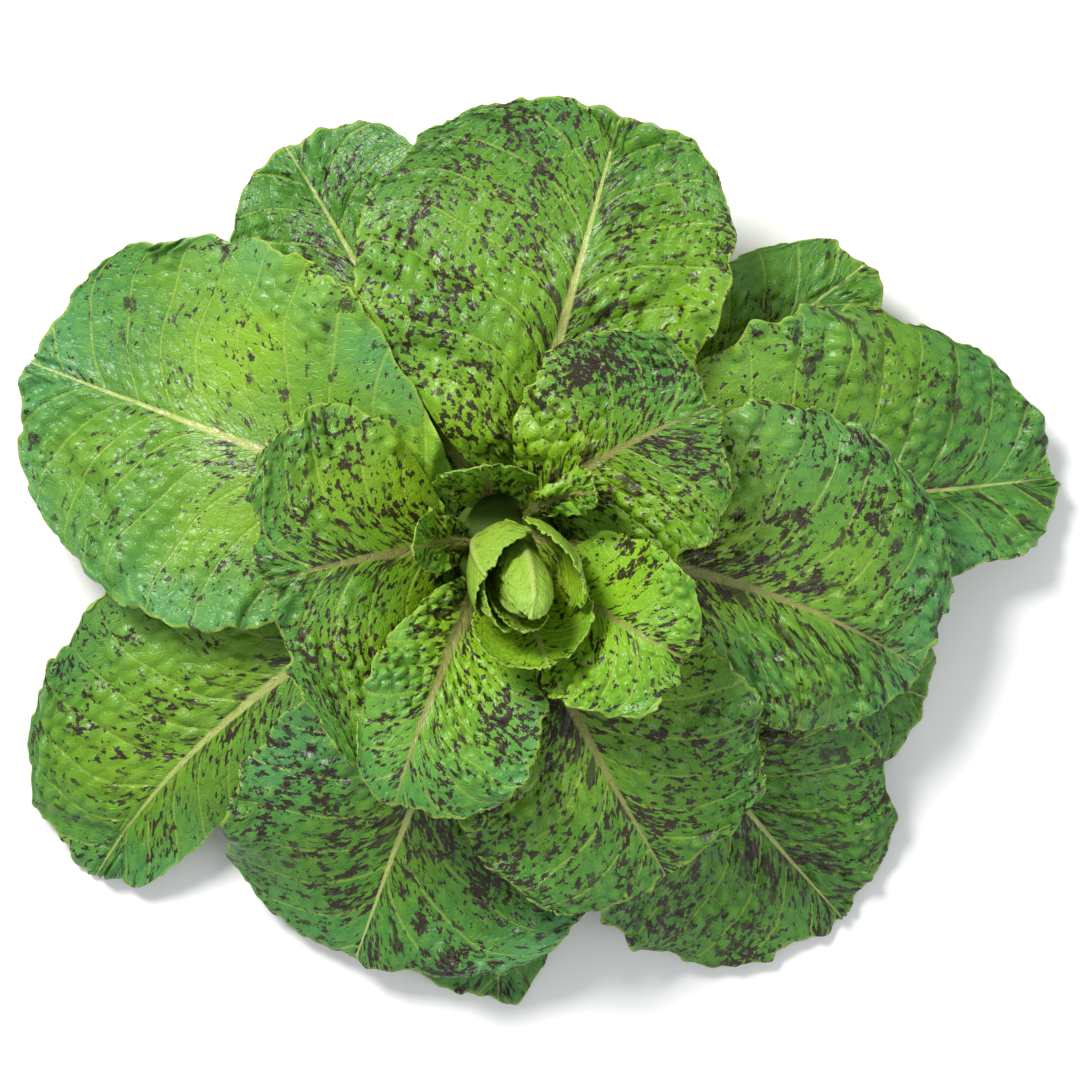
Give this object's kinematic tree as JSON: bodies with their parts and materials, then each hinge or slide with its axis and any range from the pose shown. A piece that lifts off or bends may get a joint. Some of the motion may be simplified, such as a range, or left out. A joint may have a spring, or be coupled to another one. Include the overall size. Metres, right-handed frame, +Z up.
{
  "type": "head lettuce",
  "caption": "Open rosette head of speckled lettuce: broad crinkled leaves spreading from a short cut stem round a small folded heart.",
  "frame": {"origin": "centre of the cut face of the stem, on the surface that the head stands on", "axes": "+Z up along the stem; +X and +Y lie on the surface, and the heart leans towards -Y"},
  "size_m": [0.3264, 0.2827, 0.0937],
  "materials": {
    "stem": "pale moist cut stem",
    "outer_leaf": "waxy, speckled",
    "middle_leaf": "waxy, speckled",
    "inner_leaf": "waxy, speckled",
    "heart_leaf": "waxy, speckled"
  },
  "bodies": {
    "root": {"stem": "stem", "outer_leaf_1": "outer_leaf", "outer_leaf_2": "outer_leaf", "outer_leaf_3": "outer_leaf", "outer_leaf_4": "outer_leaf", "outer_leaf_5": "outer_leaf", "outer_leaf_6": "outer_leaf", "outer_leaf_7": "outer_leaf", "outer_leaf_8": "outer_leaf", "outer_leaf_9": "outer_leaf", "outer_leaf_10": "outer_leaf", "outer_leaf_11": "outer_leaf", "outer_leaf_12": "outer_leaf", "middle_leaf_1": "middle_leaf", "middle_leaf_2": "middle_leaf", "middle_leaf_3": "middle_leaf", "middle_leaf_4": "middle_leaf", "inner_leaf_1": "inner_leaf", "inner_leaf_2": "inner_leaf", "inner_leaf_3": "inner_leaf", "inner_leaf_4": "inner_leaf", "inner_leaf_5": "inner_leaf", "heart_leaf_1": "heart_leaf", "heart_leaf_2": "heart_leaf", "heart_leaf_3": "heart_leaf", "heart_leaf_4": "heart_leaf", "heart_leaf_5": "heart_leaf", "heart_leaf_6": "heart_leaf", "heart_leaf_7": "heart_leaf", "heart_leaf_8": "heart_leaf"}
  },
  "joints": []
}
